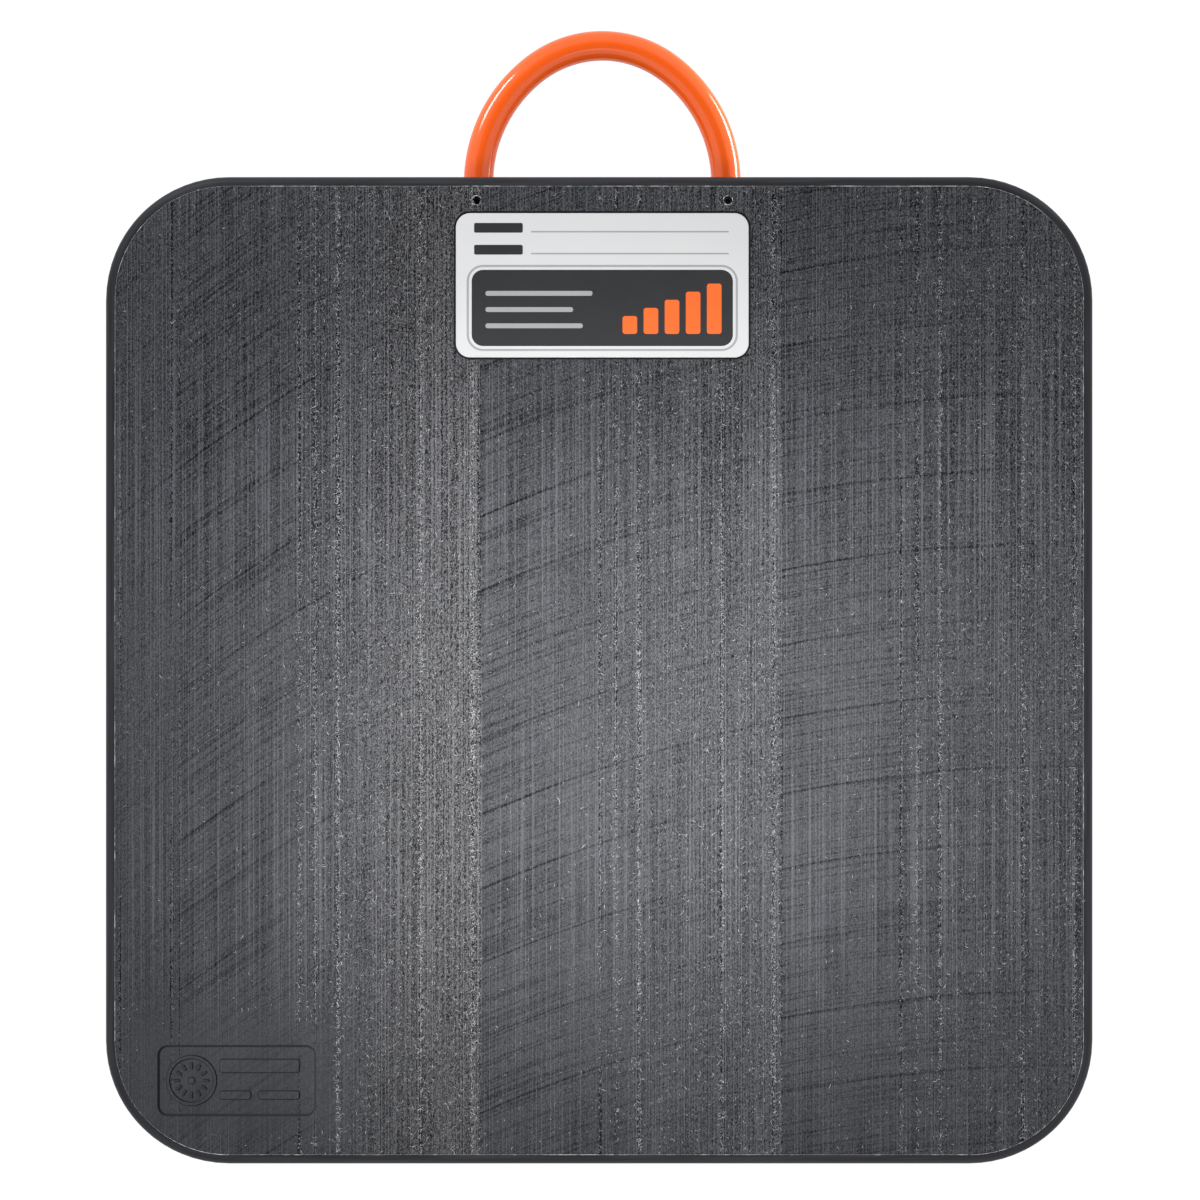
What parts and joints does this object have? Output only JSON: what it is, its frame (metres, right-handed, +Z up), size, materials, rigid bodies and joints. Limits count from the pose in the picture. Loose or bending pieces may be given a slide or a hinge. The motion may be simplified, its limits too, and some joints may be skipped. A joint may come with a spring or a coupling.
{
  "type": "crane outrigger pad",
  "caption": "Square plastic outrigger pad with round corners and rounded edges, a loop carry handle held in edge bores by set screws, a sunk label plate and a sunk marking panel.",
  "frame": {"origin": "centre of the ground face, the flat underside that lies on the soil or road", "axes": "+Z up through the load face that carries the label plate, +Y out past the carry handle, +X to the right with the handle at the top"},
  "size_m": [0.6096, 0.705, 0.0762],
  "materials": {
    "pad_polyethylene": "planed satin with cutter marks",
    "handle_plastic": "glossy moulded",
    "screw_steel": "black oxide, satin",
    "label_plastic": "satin printed plate"
  },
  "bodies": {
    "root": {"pad": "pad_polyethylene", "handle": "handle_plastic", "handle_set_screws": "screw_steel", "label_plate": "label_plastic"}
  },
  "joints": []
}
